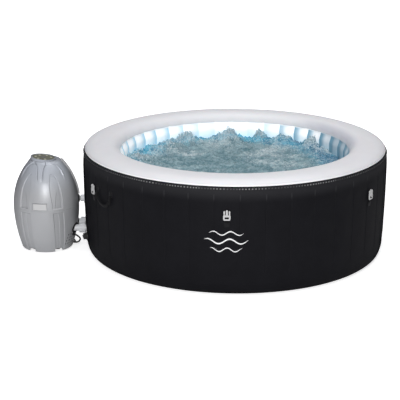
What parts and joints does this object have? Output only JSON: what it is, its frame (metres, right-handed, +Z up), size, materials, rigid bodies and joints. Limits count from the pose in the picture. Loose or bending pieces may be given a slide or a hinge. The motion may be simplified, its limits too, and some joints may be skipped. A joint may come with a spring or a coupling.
{
  "type": "inflatable hot tub",
  "caption": "Round inflatable hot tub with a vertical-web air wall and an egg-shaped pump, heater and blower unit coupled to its side.",
  "frame": {"origin": "centre of the tub's underside, on the ground", "axes": "+Z up; the pump unit stands on the -X side; -Y is the side first seen"},
  "size_m": [2.2256, 1.8244, 0.6599],
  "materials": {
    "black_pvc": "satin, faintly sheened",
    "white_pvc": "soft satin",
    "liner_pvc": "soft satin",
    "web_film": "satin film",
    "webbing": "woven",
    "buckle_plastic": "moulded satin",
    "handle_plastic": "moulded satin",
    "black_rubber": "matt",
    "case_grey": "semi-gloss moulded",
    "spine_grey": "semi-gloss moulded",
    "fitting_grey": "moulded satin",
    "badge_grey": "satin",
    "panel_olive": "fine satin",
    "display_black": "glossy",
    "button_pale": "satin",
    "circuit_board": "solder mask",
    "motor_metal": "satin",
    "housing_plastic": "moulded",
    "impeller_plastic": "moulded",
    "heater_steel": "brushed",
    "screw_steel": "plated",
    "filter_paper": "pleated non-woven",
    "cable_black": "matt",
    "pool_water": "aerated water"
  },
  "bodies": {
    "tub": {"outer_wall": "black_pvc", "inner_wall": "liner_pvc", "top_ring": "white_pvc", "floor_sheet": "liner_pvc", "outer_seam_band": "black_pvc", "beam_webs": "web_film", "bubble_channel": "liner_pvc", "buckle_loops": "webbing", "handle_anchors": "webbing", "inflation_valve_body": "handle_plastic", "drain_valve_body": "handle_plastic", "water_ports": "fitting_grey", "air_port": "fitting_grey", "filter_housing": "fitting_grey", "filter_cartridge": "filter_paper", "outlet_screen": "fitting_grey"},
    "pump_unit": {"pump_lower_shell": "case_grey", "pump_upper_shell": "case_grey", "badge_plate": "badge_grey", "spine_cover": "spine_grey", "pipe_grommets": "black_rubber", "pump_base_plate": "housing_plastic", "rubber_feet": "black_rubber", "case_screws": "screw_steel", "control_collar": "case_grey", "control_panel": "panel_olive", "display_lens": "display_black", "control_board": "circuit_board", "circulation_pump_body": "motor_metal", "heater_tube": "heater_steel", "blower_housing": "housing_plastic", "power_board": "circuit_board", "power_cord": "cable_black", "coupling_seals": "black_rubber", "water_pipes": "fitting_grey", "air_pipe": "fitting_grey"},
    "blower_impeller": {"blower_impeller": "impeller_plastic"},
    "button_bubbles": {"button_bubbles": "button_pale"},
    "button_filter": {"button_filter": "button_pale"},
    "button_heater": {"button_heater": "button_pale"},
    "button_power": {"button_power": "button_pale"},
    "button_temp_down": {"button_temp_down": "button_pale"},
    "button_temp_up": {"button_temp_up": "button_pale"},
    "carry_handle_left": {"carry_handle_left": "handle_plastic"},
    "carry_handle_right": {"carry_handle_right": "handle_plastic"},
    "circulation_impeller": {"circulation_impeller": "impeller_plastic"},
    "coupling_nut_air": {"coupling_nut_air": "fitting_grey"},
    "coupling_nut_water_front": {"coupling_nut_water_front": "fitting_grey"},
    "coupling_nut_water_rear": {"coupling_nut_water_rear": "fitting_grey"},
    "drain_cap": {"drain_cap": "handle_plastic"},
    "filter_cap": {"filter_cap": "fitting_grey"},
    "inflation_valve_cap": {"inflation_valve_cap": "handle_plastic"},
    "inflation_valve_stem": {"inflation_valve_stem": "handle_plastic"},
    "lid_buckle_1": {"lid_buckle_1": "buckle_plastic"},
    "lid_buckle_2": {"lid_buckle_2": "buckle_plastic"},
    "lid_buckle_3": {"lid_buckle_3": "buckle_plastic"},
    "lid_buckle_4": {"lid_buckle_4": "buckle_plastic"},
    "lid_buckle_5": {"lid_buckle_5": "buckle_plastic"},
    "lid_buckle_6": {"lid_buckle_6": "buckle_plastic"}
  },
  "joints": [
    {"name": "pump_pull_off", "type": "slide", "parent": "tub", "child": "pump_unit", "axis": [-1, 0, 0], "range_m": [0, 0.12]},
    {"name": "lid_buckle_1_fold", "type": "hinge", "parent": "tub", "child": "lid_buckle_1", "pos_m": [-0.06336, -0.90609, 0.445], "axis": [0.9976, -0.0698, 0], "range_deg": [0, 100]},
    {"name": "lid_buckle_2_fold", "type": "hinge", "parent": "tub", "child": "lid_buckle_2", "pos_m": [0.75302, -0.50792, 0.445], "axis": [0.5592, 0.829, 0], "range_deg": [0, 100]},
    {"name": "lid_buckle_3_fold", "type": "hinge", "parent": "tub", "child": "lid_buckle_3", "pos_m": [0.81638, 0.39818, 0.445], "axis": [-0.4384, 0.8988, 0], "range_deg": [0, 100]},
    {"name": "lid_buckle_4_fold", "type": "hinge", "parent": "tub", "child": "lid_buckle_4", "pos_m": [0.06336, 0.90609, 0.445], "axis": [-0.9976, 0.0698, 0], "range_deg": [0, 100]},
    {"name": "lid_buckle_5_fold", "type": "hinge", "parent": "tub", "child": "lid_buckle_5", "pos_m": [-0.75302, 0.50792, 0.445], "axis": [-0.5592, -0.829, 0], "range_deg": [0, 100]},
    {"name": "lid_buckle_6_fold", "type": "hinge", "parent": "tub", "child": "lid_buckle_6", "pos_m": [-0.81638, -0.39818, 0.445], "axis": [0.4384, -0.8988, 0], "range_deg": [0, 100]},
    {"name": "carry_handle_left_swing", "type": "hinge", "parent": "tub", "child": "carry_handle_left", "pos_m": [-0.75309, -0.50796, 0.452], "axis": [-0.5592, 0.829, 0], "range_deg": [0, 100]},
    {"name": "carry_handle_right_swing", "type": "hinge", "parent": "tub", "child": "carry_handle_right", "pos_m": [0.75309, 0.50796, 0.452], "axis": [0.5592, -0.829, 0], "range_deg": [0, 100]},
    {"name": "inflation_valve_unscrew", "type": "hinge", "parent": "tub", "child": "inflation_valve_cap", "pos_m": [-0.82745, 0.33431, 0.18], "axis": [-0.9272, 0.3746, 0], "range_deg": [0, 720]},
    {"name": "inflation_valve_press", "type": "slide", "parent": "tub", "child": "inflation_valve_stem", "axis": [0.9272, -0.3746, 0], "range_m": [0, 0.004]},
    {"name": "drain_cap_unscrew", "type": "hinge", "parent": "tub", "child": "drain_cap", "pos_m": [-0.86876, -0.1926, 0.12], "axis": [-0.9763, -0.2164, 0], "range_deg": [0, 720]},
    {"name": "filter_cap_twist", "type": "hinge", "parent": "tub", "child": "filter_cap", "pos_m": [-0.565, -0.06, 0.13], "axis": [1, 0, 0], "range_deg": [0, 45]},
    {"name": "coupling_nut_water_front_turn", "type": "hinge", "parent": "pump_unit", "child": "coupling_nut_water_front", "pos_m": [-0.908, -0.06, 0.13], "axis": [1, 0, 0], "range_deg": [0, 720]},
    {"name": "coupling_nut_water_rear_turn", "type": "hinge", "parent": "pump_unit", "child": "coupling_nut_water_rear", "pos_m": [-0.908, 0.06, 0.13], "axis": [1, 0, 0], "range_deg": [0, 720]},
    {"name": "coupling_nut_air_turn", "type": "hinge", "parent": "pump_unit", "child": "coupling_nut_air", "pos_m": [-0.911, 0, 0.298], "axis": [1, 0, 0], "range_deg": [0, 720]},
    {"name": "circulation_impeller_spin", "type": "hinge", "parent": "pump_unit", "child": "circulation_impeller", "pos_m": [-1.089, -0.06, 0.13], "axis": [1, 0, 0], "continuous": true},
    {"name": "blower_impeller_spin", "type": "hinge", "parent": "pump_unit", "child": "blower_impeller", "pos_m": [-1.149, 0, 0.276], "axis": [0, 0, 1], "continuous": true},
    {"name": "button_power_press", "type": "slide", "parent": "pump_unit", "child": "button_power", "axis": [-0.0958, 0, -0.9954], "range_m": [0, 0.0015]},
    {"name": "button_filter_press", "type": "slide", "parent": "pump_unit", "child": "button_filter", "axis": [-0.0958, 0, -0.9954], "range_m": [0, 0.0015]},
    {"name": "button_bubbles_press", "type": "slide", "parent": "pump_unit", "child": "button_bubbles", "axis": [-0.0958, 0, -0.9954], "range_m": [0, 0.0015]},
    {"name": "button_heater_press", "type": "slide", "parent": "pump_unit", "child": "button_heater", "axis": [-0.0958, 0, -0.9954], "range_m": [0, 0.0015]},
    {"name": "button_temp_up_press", "type": "slide", "parent": "pump_unit", "child": "button_temp_up", "axis": [-0.0958, 0, -0.9954], "range_m": [0, 0.0015]},
    {"name": "button_temp_down_press", "type": "slide", "parent": "pump_unit", "child": "button_temp_down", "axis": [-0.0958, 0, -0.9954], "range_m": [0, 0.0015]}
  ]
}
